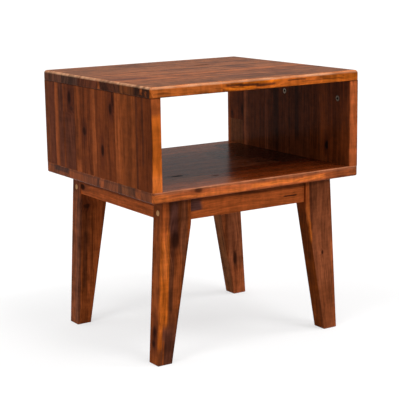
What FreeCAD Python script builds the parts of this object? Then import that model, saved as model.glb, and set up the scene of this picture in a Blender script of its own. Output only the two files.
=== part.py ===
import FreeCAD, Part
import os
import re
import Sketcher

# An open nightstand of solid acacia: a cubby box of edge-glued boards, open at the front
# and at the back, on a base of four splayed and tapered legs joined by aprons.
# Frame: +X to the right, the front faces -Y, +Z up, the origin on the floor under the middle.
# Lengths are in millimetres.

drivingSizes = {
    # The box
    "overallWidth": 450,
    "overallDepth": 406,
    "overallHeight": 501,
    "boardThickness": 19,
    "topEdgeRadius": 6,
    "bottomEdgeRadius": 3,
    "cornerRadius": 6,
    "sideInset": 1,
    "sideSetback": 1,
    "sideEdgeRadius": 1.5,
    # The legs
    "legHeight": 302,
    "legThickness": 31,
    "legTopWidth": 58,
    "legFootWidth": 30,
    "legLean": 17.5,
    "legTopInset": 39.5,
    "legDepthInset": 34,
    "legStraightHeight": 50,
    "legKneeRadius": 60,
    "legEdgeRadius": 1.5,
    "footEase": 1.5,
    # The aprons
    "apronThickness": 20,
    "frontApronHeight": 45.5,
    "sideApronHeight": 39.5,
    "apronEdgeRadius": 1,
    # Wooden dowels
    "dowelDiameter": 8,
    "dowelChamfer": 1,
    "topDowelLength": 30,
    "topDowelBite": 11,
    "legDowelLength": 40,
    "legDowelDrop": 12,
    "sideDowelSpacing": 160,
    # Cam locks and their bolts, which hold the top to the sides
    "camDiameter": 12,
    "camDepth": 13.5,
    "camDistance": 36,
    "camEdgeInset": 38,
    "camSocketWidth": 4.6,
    "camSocketDepth": 4.5,
    "camRimChamfer": 0.6,
    "boltHeadDiameter": 6,
    "boltHeadHeight": 2.5,
    "boltNeckDiameter": 3.6,
    "boltNeckLength": 4,
    "boltShankDiameter": 5.5,
    "boltThreadDiameter": 6,
    "boltThreadLength": 11,
    "boltTipChamfer": 0.8,
    # Screws that hold the bottom to the sides, driven from below
    "sideScrewInset": 24,
    "sideScrewLength": 50,
    "sideScrewHeadDiameter": 10,
    "sideScrewHeadHeight": 3,
    "sideScrewShankDiameter": 7,
    "sideScrewThreadDiameter": 5,
    # Screws through the legs into the front and rear aprons, under wooden plugs
    "legScrewDrop": 28,
    "legScrewLength": 80,
    "legScrewDiameter": 5,
    "legScrewHeadDiameter": 9,
    "legScrewHeadHeight": 4,
    "plugDiameter": 10,
    "plugLength": 7,
    # Screws up through the aprons into the bottom of the box
    "baseScrewInset": 55,
    "baseScrewDiameter": 4.5,
    "baseScrewHeadDiameter": 9,
    "baseScrewHeadHeight": 3.5,
    "baseScrewGrip": 20,
    "baseScrewBite": 15,
    "baseScrewBoreDiameter": 10,
    # Sockets
    "driveWidth": 4,
    "driveDepth": 2,
    # Fits
    "fitClearance": 0.1,
    "glueSpace": 0.5,
    "overrun": 10,
}

# Widths of the glued staves of each board, from front to back, as shares of its depth.
topStaveShares = (0.13, 0.14, 0.17, 0.21, 0.16, 0.19)
bottomStaveShares = (0.15, 0.15, 0.17, 0.15, 0.14, 0.15, 0.09)
leftSideStaveShares = (0.135, 0.18, 0.16, 0.22, 0.16, 0.145)
rightSideStaveShares = (0.16, 0.14, 0.2, 0.17, 0.19, 0.14)

# Places worked out from the driving sizes, as formulas in their names.
topUnderside = "(overallHeight - boardThickness)"
boxFloor = "(legHeight + boardThickness)"
sideHeight = "(overallHeight - legHeight - 2 * boardThickness)"
sideDepth = "(overallDepth - 2 * sideSetback)"
sideCentre = "(overallWidth / 2 - sideInset - boardThickness / 2)"
sideInnerFace = "(overallWidth / 2 - sideInset - boardThickness)"
camHeight = "(overallHeight - boardThickness - camDistance)"
camOffset = "(overallDepth / 2 - camEdgeInset)"
sideScrewOffset = "(overallDepth / 2 - sideScrewInset)"
legTopOuter = "(overallWidth / 2 - legTopInset)"
legTopInner = "(overallWidth / 2 - legTopInset - legTopWidth)"
legFootOuter = "(overallWidth / 2 - legTopInset + legLean)"
legFootInner = "(overallWidth / 2 - legTopInset + legLean - legFootWidth)"
legCentre = "(overallDepth / 2 - legDepthInset - legThickness / 2)"
legInnerFace = "(overallDepth / 2 - legDepthInset - legThickness)"
sideApronCentre = "(overallWidth / 2 - legTopInset - apronThickness / 2)"
frontScrewOffset = "(overallWidth / 2 - legTopInset - legTopWidth - baseScrewInset)"
sideScrewWellOffset = "(overallDepth / 2 - legDepthInset - legThickness - baseScrewInset)"
screwHeight = "(legHeight - legScrewDrop)"
plugSeat = "(overallWidth / 2 - legTopInset + legLean * legScrewDrop / legHeight - plugLength)"
headSeat = "(%s - legScrewHeadHeight)" % plugSeat
screwTip = "(%s - legScrewLength)" % headSeat
dowelHeight = "(legHeight - legDowelDrop)"
dowelBore = "(dowelDiameter + 2 * fitClearance)"
screwBore = "(legScrewDiameter + 2 * fitClearance)"

# Each leg's name, its side of the box (left or right) and its end (front or rear).
legPlaces = (
    ("front_left", -1, -1),
    ("front_right", 1, -1),
    ("rear_left", -1, 1),
    ("rear_right", 1, 1),
)
sidePlaces = (("left", -1), ("right", 1))
camPlaces = (("front", -1), ("middle", 0), ("rear", 1))

matchTolerance = 0.001

doc = FreeCAD.newDocument("Nightstand")
sizes = doc.addObject("Spreadsheet::Sheet", "Sizes")
nodes = []


def fillSheet():
    # One row for each driving size: its name, then its value under that name.
    for row, (alias, value) in enumerate(drivingSizes.items(), start=1):
        sizes.set("A%d" % row, alias)
        sizes.set("B%d" % row, str(value))
        sizes.setAlias("B%d" % row, alias)
    doc.recompute()


def linked(formula):
    # The formula with each driving size written as a cell of the sheet.
    def asCell(word):
        return "Sizes." + word[0] if word[0] in drivingSizes else word[0]

    return re.sub(r"[A-Za-z]\w*", asCell, formula)


def measure(formula):
    return float(sizes.evalExpression(linked(formula)))


def signed(sign, formula):
    return "%d * %s" % (sign, formula)


def bind(target, **formulas):
    # Binds properties to formulas; two underscores stand for a dot in a property's path.
    for path, formula in formulas.items():
        target.setExpression(path.replace("__", "."), linked(formula))


def place(target, x="0", y="0", z="0"):
    bind(target, Placement__Base__x=x, Placement__Base__y=y, Placement__Base__z=z)


def keep(target, name):
    target.Label = name
    nodes.append(target)
    return target


def makeBox(name, length, width, height, x="0", y="0", z="0"):
    # A box centred on x and y, with its lower face at z.
    box = doc.addObject("Part::Box", name)
    bind(box, Length=length, Width=width, Height=height)
    place(box, "%s - %s / 2" % (x, length), "%s - %s / 2" % (y, width), z)
    return box


turns = {
    "up": FreeCAD.Rotation(),
    "right": FreeCAD.Rotation(FreeCAD.Vector(0, 1, 0), 90),
    "left": FreeCAD.Rotation(FreeCAD.Vector(0, 1, 0), -90),
    "back": FreeCAD.Rotation(FreeCAD.Vector(1, 0, 0), -90),
    "forward": FreeCAD.Rotation(FreeCAD.Vector(1, 0, 0), 90),
}


def makeRod(name, diameter, length, direction, x="0", y="0", z="0"):
    # A plain round bar from the given point along one direction.
    rod = doc.addObject("Part::Cylinder", name)
    bind(rod, Radius="%s / 2" % diameter, Height=length)
    rod.Placement.Rotation = turns[direction]
    place(rod, x, y, z)
    return rod


def makeCone(name, startDiameter, endDiameter, length, direction, x="0", y="0", z="0"):
    cone = doc.addObject("Part::Cone", name)
    bind(cone, Radius1="%s / 2" % startDiameter, Radius2="%s / 2" % endDiameter, Height=length)
    cone.Placement.Rotation = turns[direction]
    place(cone, x, y, z)
    return cone


def cutAway(name, base, tools):
    # The base less all the tools.
    cut = doc.addObject("Part::Cut", name)
    cut.Base = base
    if len(tools) == 1:
        cut.Tool = tools[0]
        return cut
    allTools = doc.addObject("Part::MultiFuse", name + "_tools")
    allTools.Shapes = tools
    cut.Tool = allTools
    return cut


def addBody(name):
    return doc.addObject("PartDesign::Body", name)


def addSketch(body, plane, name, offset="0"):
    # A sketch on one of the body's own origin planes, moved along that plane's normal.
    sketch = body.newObject("Sketcher::SketchObject", name)
    origin = next(feature for feature in body.Origin.OriginFeatures if feature.Role == plane)
    sketch.AttachmentSupport = [(origin, "")]
    sketch.MapMode = "FlatFace"
    sketch.setExpression("AttachmentOffset.Base.z", linked(offset))
    return sketch


def fixPoint(sketch, line, end, x, y):
    # Holds one end of a line at formulas for its two coordinates, measured from the origin.
    for kind, formula in (("DistanceX", x), ("DistanceY", y)):
        index = sketch.addConstraint(Sketcher.Constraint(kind, -1, 1, line, end, measure(formula)))
        sketch.setExpression("Constraints[%d]" % index, linked(formula))


def drawOutline(sketch, points):
    # A closed outline of straight lines through points that are given as formulas.
    spots = [FreeCAD.Vector(measure(x), measure(y), 0) for x, y in points]
    count = len(spots)
    for index in range(count):
        sketch.addGeometry(Part.LineSegment(spots[index], spots[(index + 1) % count]), False)
    for index in range(count):
        sketch.addConstraint(Sketcher.Constraint("Coincident", index, 2, (index + 1) % count, 1))
    for index, (x, y) in enumerate(points):
        fixPoint(sketch, index, 1, x, y)


def drawCircle(sketch, x, y, diameter):
    centre = FreeCAD.Vector(measure(x), measure(y), 0)
    normal = FreeCAD.Vector(0, 0, 1)
    circle = sketch.addGeometry(Part.Circle(centre, normal, measure(diameter) / 2), False)
    index = sketch.addConstraint(Sketcher.Constraint("Diameter", circle, measure(diameter)))
    sketch.setExpression("Constraints[%d]" % index, linked(diameter))
    fixPoint(sketch, circle, 3, x, y)


def drawHexagon(sketch, width):
    # A regular hexagon about the origin, given by its width across the flats.
    halfSide = "%s * tan(30) / 2" % width
    corner = "%s * tan(30)" % width
    half = "%s / 2" % width
    drawOutline(sketch, (
        (corner, "0"),
        (halfSide, half),
        ("-" + halfSide, half),
        ("-" + corner, "0"),
        ("-" + halfSide, "-" + half),
        (halfSide, "-" + half),
    ))


def pad(body, sketch, name, length, symmetric=False):
    feature = body.newObject("PartDesign::Pad", name)
    feature.Profile = sketch
    feature.SideType = "Symmetric" if symmetric else "One side"
    bind(feature, Length=length)
    doc.recompute()
    return feature


def pocket(body, sketch, name, alongNormal, length=None):
    # Cuts along the sketch's normal or against it, for a length or right through.
    before = body.Shape.Volume
    feature = body.newObject("PartDesign::Pocket", name)
    feature.Profile = sketch
    feature.Reversed = alongNormal
    if length is None:
        feature.Type = "ThroughAll"
    else:
        feature.Type = "Length"
        bind(feature, Length=length)
    doc.recompute()
    if not body.Shape.Volume < before:
        raise RuntimeError("%s cuts nothing" % name)
    return feature


def roundEdges(body, base, name, radius, chosen):
    # Rounds the edges of the last feature for which the test holds.
    edges = ["Edge%d" % number for number, edge in enumerate(base.Shape.Edges, start=1) if chosen(edge)]
    feature = body.newObject("PartDesign::Fillet", name)
    feature.Base = (base, edges)
    bind(feature, Radius=radius)
    doc.recompute()
    return feature


def near(first, second):
    return abs(first - second) < matchTolerance


def ends(edge):
    return [vertex.Point for vertex in edge.Vertexes]


def isUpright(edge):
    spots = ends(edge)
    return len(spots) == 2 and near(spots[0].x, spots[1].x) and near(spots[0].y, spots[1].y)


def liesAt(edge, level):
    spots = ends(edge)
    return all(near(spot.z, level) for spot in spots)


# Boards of the box, each glued up from staves

def makePanelBlank(name, upperRadius, lowerRadius, z):
    # A top or bottom board with rounded corners and rounded upper and lower edges.
    body = addBody(name)
    outline = addSketch(body, "XY_Plane", name + "_outline")
    halfWidth = "overallWidth / 2"
    halfDepth = "overallDepth / 2"
    drawOutline(outline, (
        ("-" + halfWidth, "-" + halfDepth),
        (halfWidth, "-" + halfDepth),
        (halfWidth, halfDepth),
        ("-" + halfWidth, halfDepth),
    ))
    board = pad(body, outline, name + "_board", "boardThickness")
    rounded = roundEdges(body, board, name + "_corners", "cornerRadius", isUpright)
    level = measure("boardThickness")
    if upperRadius:
        rounded = roundEdges(body, rounded, name + "_upper", upperRadius, lambda edge: liesAt(edge, level))
    if lowerRadius:
        rounded = roundEdges(body, rounded, name + "_lower", lowerRadius, lambda edge: liesAt(edge, 0))
    place(body, z=z)
    return body


def makeSideBlank(name, sign):
    # A side board, which stands between the bottom and the top.
    body = addBody(name)
    outline = addSketch(body, "XY_Plane", name + "_outline")
    halfThickness = "boardThickness / 2"
    halfDepth = "%s / 2" % sideDepth
    drawOutline(outline, (
        ("-" + halfThickness, "-" + halfDepth),
        (halfThickness, "-" + halfDepth),
        (halfThickness, halfDepth),
        ("-" + halfThickness, halfDepth),
    ))
    board = pad(body, outline, name + "_board", sideHeight)
    roundEdges(body, board, name + "_edges", "sideEdgeRadius", isUpright)
    place(body, signed(sign, sideCentre), "0", boxFloor)
    return body


def cutIntoStaves(name, board, shares, length, depth, height, x, z):
    # Cuts a drilled board into its glued staves, each a piece of its own.
    start = 0
    last = len(shares)
    for number, share in enumerate(shares, start=1):
        lead = "overrun" if number == 1 else "0"
        trail = "overrun" if number == last else "0"
        width = "(%r * %s + %s + %s)" % (share, depth, lead, trail)
        frontEdge = "(%r * %s - %s / 2 - %s)" % (start, depth, depth, lead)
        envelope = makeBox(
            "%s_envelope_%d" % (name, number),
            "(%s + 2 * overrun)" % length,
            width,
            "(%s + 2 * overrun)" % height,
            x,
            "(%s + %s / 2)" % (frontEdge, width),
            "(%s - overrun)" % z,
        )
        stave = doc.addObject("Part::Common", "%s_stave_%d" % (name, number))
        stave.Base = board
        stave.Tool = envelope
        keep(stave, "%s_stave_%d" % (name, number))
        start = round(start + share, 4)


def dowelBores(name, count, x, spacing, low, high):
    # Upright bores for a row of dowels that is centred from front to back.
    bores = []
    for number in range(count):
        y = "(%r * %s)" % (number - (count - 1) / 2, spacing)
        bores.append(makeRod("%s_%d" % (name, number + 1), dowelBore, "(%s - %s)" % (high, low), "up", x, y, low))
    return bores


def makeTopPanel():
    bores = []
    for side, sign in sidePlaces:
        x = signed(sign, sideCentre)
        for spot, end in camPlaces:
            bores.append(makeRod(
                "top_bolt_bore_%s_%s" % (side, spot),
                "(boltThreadDiameter + 2 * fitClearance)",
                "(boltThreadLength + glueSpace + overrun)",
                "up", x, signed(end, camOffset), topUnderside + " - overrun",
            ))
        bores += dowelBores(
            "top_dowel_bore_" + side, 2, x, "sideDowelSpacing",
            "(%s - overrun)" % topUnderside, "(%s + topDowelBite + glueSpace)" % topUnderside,
        )
    blank = makePanelBlank("top_blank", "topEdgeRadius", "sideEdgeRadius", topUnderside)
    board = cutAway("top_board", blank, bores)
    cutIntoStaves("top", board, topStaveShares, "overallWidth", "overallDepth", "boardThickness", "0", topUnderside)


def makeBottomPanel():
    bores = []
    for side, sign in sidePlaces:
        x = signed(sign, sideCentre)
        for spot, end in camPlaces:
            y = signed(end, sideScrewOffset)
            tag = "%s_%s" % (side, spot)
            bores.append(makeRod(
                "bottom_screw_bore_" + tag,
                "(sideScrewShankDiameter + 2 * fitClearance)",
                "(boardThickness + 2 * overrun)",
                "up", x, y, "legHeight - overrun",
            ))
            bores.append(makeCone(
                "bottom_countersink_" + tag,
                "(sideScrewHeadDiameter + 2 * fitClearance)",
                "(sideScrewShankDiameter + 2 * fitClearance)",
                "sideScrewHeadHeight",
                "up", x, y, "legHeight",
            ))
        bores += dowelBores(
            "bottom_dowel_bore_" + side, 2, x, "sideDowelSpacing",
            "(%s - topDowelBite - glueSpace)" % boxFloor, "(%s + overrun)" % boxFloor,
        )
    for name, x, y in baseScrewPlaces():
        bores.append(makeRod(
            "bottom_pilot_" + name,
            "(baseScrewDiameter + 2 * fitClearance)",
            "(baseScrewBite + glueSpace + overrun)",
            "up", x, y, "legHeight - overrun",
        ))
    blank = makePanelBlank("bottom_blank", "sideEdgeRadius", "bottomEdgeRadius", "legHeight")
    board = cutAway("bottom_board", blank, bores)
    cutIntoStaves(
        "bottom", board, bottomStaveShares, "overallWidth", "overallDepth", "boardThickness", "0", "legHeight",
    )


def makeSidePanel(side, sign, shares):
    x = signed(sign, sideCentre)
    outward = "right" if sign > 0 else "left"
    bores = []
    for spot, end in camPlaces:
        tag = "%s_%s" % (side, spot)
        y = signed(end, camOffset)
        bores.append(makeRod(
            "cam_bore_" + tag,
            "(camDiameter + 2 * fitClearance)",
            "(camDepth + fitClearance + overrun)",
            outward, signed(sign, "(%s - overrun)" % sideInnerFace), y, camHeight,
        ))
        bores.append(makeRod(
            "bolt_channel_" + tag,
            "(boltHeadDiameter + 2 * fitClearance)",
            "(camDistance + overrun)",
            "up", x, y, camHeight,
        ))
        bores.append(makeRod(
            "side_screw_bore_" + tag,
            "(sideScrewThreadDiameter + 2 * fitClearance)",
            "(sideScrewLength - boardThickness + glueSpace + overrun)",
            "up", x, signed(end, sideScrewOffset), boxFloor + " - overrun",
        ))
    bores += dowelBores(
        "side_top_dowel_bore_" + side, 2, x, "sideDowelSpacing",
        "(%s - topDowelLength + topDowelBite - glueSpace)" % topUnderside, "(%s + overrun)" % topUnderside,
    )
    bores += dowelBores(
        "side_bottom_dowel_bore_" + side, 2, x, "sideDowelSpacing",
        "(%s - overrun)" % boxFloor, "(%s + topDowelLength - topDowelBite + glueSpace)" % boxFloor,
    )
    blank = makeSideBlank("%s_side_blank" % side, sign)
    board = cutAway("%s_side_board" % side, blank, bores)
    cutIntoStaves("%s_side" % side, board, shares, "boardThickness", sideDepth, sideHeight, x, boxFloor)


# The base

def makeLeg(name, side, end):
    # A plank that leans outwards, with its inner edge upright beside the apron and tapered
    # below it. Bores: a plugged screw through its width and a dowel for each apron.
    body = addBody(name + "_leg")
    outline = addSketch(body, "XZ_Plane", name + "_leg_outline")
    drawOutline(outline, (
        (signed(side, legTopOuter), "legHeight"),
        (signed(side, legFootOuter), "0"),
        (signed(side, legFootInner), "0"),
        (signed(side, legTopInner), "legHeight - legStraightHeight"),
        (signed(side, legTopInner), "legHeight"),
    ))
    plank = pad(body, outline, name + "_leg_plank", "legThickness", symmetric=True)
    kneeX = side * measure(legTopInner)
    kneeZ = measure("legHeight - legStraightHeight")
    kneed = roundEdges(
        body, plank, name + "_leg_knee", "legKneeRadius",
        lambda edge: all(near(spot.x, kneeX) and near(spot.z, kneeZ) for spot in ends(edge)),
    )
    top = measure("legHeight")
    face = measure("legThickness / 2")

    def runsDown(edge):
        # The long edges of the plank, on its two broad faces.
        spots = ends(edge)
        onFace = all(near(abs(spot.y), face) for spot in spots) and near(spots[0].y, spots[1].y)
        return onFace and not near(spots[0].z, spots[1].z)

    eased = roundEdges(body, kneed, name + "_leg_edges", "legEdgeRadius", runsDown)
    roundEdges(body, eased, name + "_leg_foot", "footEase", lambda edge: liesAt(edge, 0))

    plugBore = addSketch(body, "YZ_Plane", name + "_plug_seat", signed(side, headSeat))
    drawCircle(plugBore, "0", screwHeight, "(plugDiameter + 2 * fitClearance)")
    pocket(body, plugBore, name + "_plug_bore", side > 0)

    screwHole = addSketch(body, "YZ_Plane", name + "_screw_seat", signed(side, headSeat))
    drawCircle(screwHole, "0", screwHeight, screwBore)
    pocket(body, screwHole, name + "_screw_hole", side < 0)

    edgeBore = addSketch(body, "YZ_Plane", name + "_edge_dowel_place", signed(side, legTopInner))
    drawCircle(edgeBore, "0", dowelHeight, dowelBore)
    pocket(body, edgeBore, name + "_edge_dowel_bore", side > 0, "legDowelLength / 2 + glueSpace")

    faceBore = addSketch(body, "XZ_Plane", name + "_face_dowel_place", signed(end, "legThickness / 2"))
    drawCircle(faceBore, signed(side, sideApronCentre), dowelHeight, dowelBore)
    pocket(body, faceBore, name + "_face_dowel_bore", end < 0, "legDowelLength / 2 + glueSpace")
    place(body, y=signed(end, legCentre))
    keep(body, name + "_leg")


def makeRail(name, length, depth, height, alongX):
    # An apron blank: a rail centred under the box, with its lower long edges eased.
    body = addBody(name)
    section = addSketch(body, "YZ_Plane" if alongX else "XZ_Plane", name + "_section")
    half = "%s / 2" % depth
    drawOutline(section, (
        ("-" + half, "-" + height),
        (half, "-" + height),
        (half, "0"),
        ("-" + half, "0"),
    ))
    rail = pad(body, section, name + "_rail", length, symmetric=True)
    bottom = -measure(height)
    reach = measure(length) / 2

    def runsAlong(edge):
        spots = ends(edge)
        crosses = all(near(abs(spot.x if alongX else spot.y), reach) for spot in spots)
        sameEnd = near(spots[0].x, spots[1].x) if alongX else near(spots[0].y, spots[1].y)
        return liesAt(edge, bottom) and crosses and not sameEnd

    roundEdges(body, rail, name + "_lower_edges", "apronEdgeRadius", runsAlong)
    return body


def screwWell(name, x, y, apronHeight):
    # The counterbore and the clearance hole of one screw that goes up through an apron.
    well = makeRod(
        name + "_counterbore", "baseScrewBoreDiameter",
        "(%s - baseScrewGrip + overrun)" % apronHeight,
        "up", x, y, "legHeight - %s - overrun" % apronHeight,
    )
    hole = makeRod(
        name + "_hole", "(baseScrewDiameter + 2 * fitClearance)",
        "(baseScrewGrip + 2 * overrun)",
        "up", x, y, "legHeight - baseScrewGrip - overrun",
    )
    return [well, hole]


def makeEndApron(name, end):
    # The front or rear apron, set back from the legs' faces and screwed through them.
    y = signed(end, legCentre)
    blank = makeRail(name + "_blank", "2 * " + legTopInner, "apronThickness", "frontApronHeight", True)
    place(blank, y=y, z="legHeight")
    bores = []
    for side, sign in sidePlaces:
        inward = "left" if sign > 0 else "right"
        bores.append(makeRod(
            "%s_screw_bore_%s" % (name, side), screwBore,
            "(%s - %s + glueSpace + overrun)" % (legTopInner, screwTip),
            inward, signed(sign, "(%s + overrun)" % legTopInner), y, screwHeight,
        ))
        bores.append(makeRod(
            "%s_dowel_bore_%s" % (name, side), dowelBore,
            "(legDowelLength / 2 + glueSpace + overrun)",
            inward, signed(sign, "(%s + overrun)" % legTopInner), y, dowelHeight,
        ))
        bores += screwWell("%s_%s" % (name, side), signed(sign, frontScrewOffset), y, "frontApronHeight")
    keep(cutAway(name, blank, bores), name)


def makeSideApron(name, side):
    # A side apron, which runs between the legs, flush with the tops of their outer edges.
    x = signed(side, sideApronCentre)
    blank = makeRail(name + "_blank", "2 * " + legInnerFace, "apronThickness", "sideApronHeight", False)
    place(blank, x=x, z="legHeight")
    bores = []
    for spot, end in (("front", -1), ("rear", 1)):
        inward = "forward" if end > 0 else "back"
        bores.append(makeRod(
            "%s_dowel_bore_%s" % (name, spot), dowelBore,
            "(legDowelLength / 2 + glueSpace + overrun)",
            inward, x, signed(end, "(%s + overrun)" % legInnerFace), dowelHeight,
        ))
        bores += screwWell("%s_%s" % (name, spot), x, signed(end, sideScrewWellOffset), "sideApronHeight")
    keep(cutAway(name, blank, bores), name)


# Fittings, each turned about its own axis and then placed

def makeTurned(name, profile, direction, x, y, z, socketWidth=None, socketDepth=None):
    # A turned piece: the profile gives points as distance from the axis and height along it.
    # A hexagon socket goes into its lower end.
    body = addBody(name)
    section = addSketch(body, "XZ_Plane", name + "_profile")
    drawOutline(section, profile)
    turned = body.newObject("PartDesign::Revolution", name + "_turned")
    turned.Profile = section
    axis = next(feature for feature in body.Origin.OriginFeatures if feature.Role == "Z_Axis")
    turned.ReferenceAxis = (axis, [""])
    doc.recompute()
    if socketWidth:
        socket = addSketch(body, "XY_Plane", name + "_socket")
        drawHexagon(socket, socketWidth)
        pocket(body, socket, name + "_socket_cut", True, socketDepth)
    body.Placement.Rotation = turns[direction]
    place(body, x, y, z)
    return body


def group(name, pieces):
    # Identical fasteners as one group of separate pieces.
    together = doc.addObject("Part::Compound", name)
    together.Links = pieces
    keep(together, name)


def makeDowel(name, length, direction, x, y, z):
    # A dowel with chamfered ends.
    radius = "dowelDiameter / 2"
    tip = "(dowelDiameter / 2 - dowelChamfer)"
    profile = (
        ("0", "0"),
        (tip, "0"),
        (radius, "dowelChamfer"),
        (radius, "%s - dowelChamfer" % length),
        (tip, length),
        ("0", length),
    )
    return makeTurned(name, profile, direction, x, y, z)


def makeDowels():
    upper = []
    lower = []
    for side, sign in sidePlaces:
        x = signed(sign, sideCentre)
        for spot, end in (("front", -1), ("rear", 1)):
            y = signed(end, "sideDowelSpacing / 2")
            tag = "%s_%s" % (side, spot)
            base = "%s - topDowelLength + topDowelBite" % topUnderside
            upper.append(makeDowel("top_dowel_" + tag, "topDowelLength", "up", x, y, base))
            base = "%s - topDowelBite" % boxFloor
            lower.append(makeDowel("bottom_dowel_" + tag, "topDowelLength", "up", x, y, base))
    group("top_dowels", upper)
    group("bottom_dowels", lower)
    inLegs = []
    for name, side, end in legPlaces:
        x = signed(side, "(%s - legDowelLength / 2)" % legTopInner)
        outward = "right" if side > 0 else "left"
        inLegs.append(makeDowel(
            name + "_edge_dowel", "legDowelLength", outward, x, signed(end, legCentre), dowelHeight,
        ))
        y = signed(end, "(%s - legDowelLength / 2)" % legInnerFace)
        outward = "back" if end > 0 else "forward"
        inLegs.append(makeDowel(
            name + "_face_dowel", "legDowelLength", outward, signed(side, sideApronCentre), y, dowelHeight,
        ))
    group("apron_dowels", inLegs)


def makeCamLock(name, side, end):
    # A round cam lock in its bore: a chamfered rim round a hexagon socket, and a slot from
    # its rim to its middle for the head of the bolt.
    radius = "camDiameter / 2"
    profile = (
        ("0", "0"),
        ("(%s - camRimChamfer)" % radius, "0"),
        (radius, "camRimChamfer"),
        (radius, "camDepth"),
        ("0", "camDepth"),
    )
    outward = "right" if side > 0 else "left"
    y = signed(end, camOffset)
    lock = makeTurned(
        name + "_round", profile, outward,
        signed(side, sideInnerFace), y, camHeight, "camSocketWidth", "camSocketDepth",
    )
    slot = makeRod(
        name + "_slot", "(boltHeadDiameter + 4 * fitClearance)", "camDiameter",
        "up", signed(side, sideCentre), y, "(%s - boltHeadHeight / 2 - 2 * fitClearance)" % camHeight,
    )
    keep(cutAway(name, lock, [slot]), name)


def makeCamBolt(name, side, end):
    # The bolt of a cam lock: its head in the lock, a thin neck, a shank and a screwed end.
    head = "boltHeadDiameter / 2"
    neck = "boltNeckDiameter / 2"
    shank = "boltShankDiameter / 2"
    thread = "boltThreadDiameter / 2"
    reach = "(camDistance + boltHeadHeight / 2)"
    profile = (
        ("0", "0"),
        (head, "0"),
        (head, "boltHeadHeight"),
        (neck, "boltHeadHeight"),
        (neck, "(boltHeadHeight + boltNeckLength)"),
        (shank, "(boltHeadHeight + boltNeckLength + %s - %s)" % (shank, neck)),
        (shank, reach),
        (thread, reach),
        (thread, "(%s + boltThreadLength - boltTipChamfer)" % reach),
        ("(%s - boltTipChamfer)" % thread, "(%s + boltThreadLength)" % reach),
        ("0", "(%s + boltThreadLength)" % reach),
    )
    base = "(%s - boltHeadHeight / 2)" % camHeight
    bolt = makeTurned(name, profile, "up", signed(side, sideCentre), signed(end, camOffset), base)
    keep(bolt, name)


def makeSideScrews():
    # Countersunk screws from below, through the bottom board into the side boards.
    head = "sideScrewHeadDiameter / 2"
    shank = "sideScrewShankDiameter / 2"
    thread = "sideScrewThreadDiameter / 2"
    profile = (
        ("0", "0"),
        (head, "0"),
        (shank, "sideScrewHeadHeight"),
        (shank, "boardThickness"),
        (thread, "boardThickness"),
        (thread, "(sideScrewLength - %s)" % thread),
        ("0", "sideScrewLength"),
    )
    screws = []
    for side, sign in sidePlaces:
        for spot, end in camPlaces:
            screws.append(makeTurned(
                "side_screw_%s_%s" % (side, spot), profile, "up",
                signed(sign, sideCentre), signed(end, sideScrewOffset), "legHeight",
                "driveWidth", "driveDepth",
            ))
    group("bottom_panel_screws", screws)


def plainScrew(headDiameter, headHeight, diameter, length):
    # The profile of a round-headed screw that stands on its head, with a short point.
    head = "%s / 2" % headDiameter
    shank = "%s / 2" % diameter
    return (
        ("0", "0"),
        (head, "0"),
        (head, headHeight),
        (shank, headHeight),
        (shank, "(%s + %s - %s)" % (headHeight, length, shank)),
        ("0", "(%s + %s)" % (headHeight, length)),
    )


def baseScrewPlaces():
    # Where the screws go up through the four aprons.
    places = []
    for spot, end in (("front", -1), ("rear", 1)):
        for side, sign in sidePlaces:
            x = signed(sign, frontScrewOffset)
            places.append(("%s_apron_%s" % (spot, side), x, signed(end, legCentre)))
    for side, sign in sidePlaces:
        for spot, end in (("front", -1), ("rear", 1)):
            y = signed(end, sideScrewWellOffset)
            places.append(("%s_apron_%s" % (side, spot), signed(sign, sideApronCentre), y))
    return places


def makeBaseScrews():
    profile = plainScrew(
        "baseScrewHeadDiameter", "baseScrewHeadHeight", "baseScrewDiameter", "(baseScrewGrip + baseScrewBite)",
    )
    base = "(legHeight - baseScrewGrip - baseScrewHeadHeight)"
    screws = [
        makeTurned("base_screw_" + name, profile, "up", x, y, base, "driveWidth", "driveDepth")
        for name, x, y in baseScrewPlaces()
    ]
    group("base_screws", screws)


def legOuterAt(height):
    # How far out the leaning outer edge of a leg is at a height.
    return "(%s + legLean * (legHeight - %s) / legHeight)" % (legTopOuter, height)


def makeLegScrewsAndPlugs():
    # A long screw through each leg into the end of its apron, and the plug that covers it,
    # sanded flush with the leaning edge of the leg.
    profile = plainScrew("legScrewHeadDiameter", "legScrewHeadHeight", "legScrewDiameter", "legScrewLength")
    screws = []
    for name, side, end in legPlaces:
        inward = "left" if side > 0 else "right"
        outward = "right" if side > 0 else "left"
        y = signed(end, legCentre)
        screws.append(makeTurned(
            name + "_leg_screw", profile, inward,
            signed(side, plugSeat), y, screwHeight, "driveWidth", "driveDepth",
        ))
        plug = makeRod(
            name + "_plug_rod", "plugDiameter", "(plugLength + overrun)",
            outward, signed(side, plugSeat), y, screwHeight,
        )
        sanding = doc.addObject("Part::Box", name + "_sanding")
        bind(sanding, Length="2 * overrun", Width="2 * plugDiameter", Height="4 * plugDiameter")
        sanding.Placement.Rotation = FreeCAD.Rotation(FreeCAD.Vector(0, -side, 0), 1)
        leanAngle = "atan(legLean / legHeight)"
        bind(sanding, Placement__Rotation__Angle=leanAngle if side > 0 else "180 deg + " + leanAngle)
        corner = "(%s - %s)" % (screwHeight, signed(side, "2 * plugDiameter"))
        place(sanding, signed(side, legOuterAt(corner)), "%s - plugDiameter" % y, corner)
        keep(cutAway(name + "_plug", plug, [sanding]), name + "_plug")
    group("leg_screws", screws)


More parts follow.
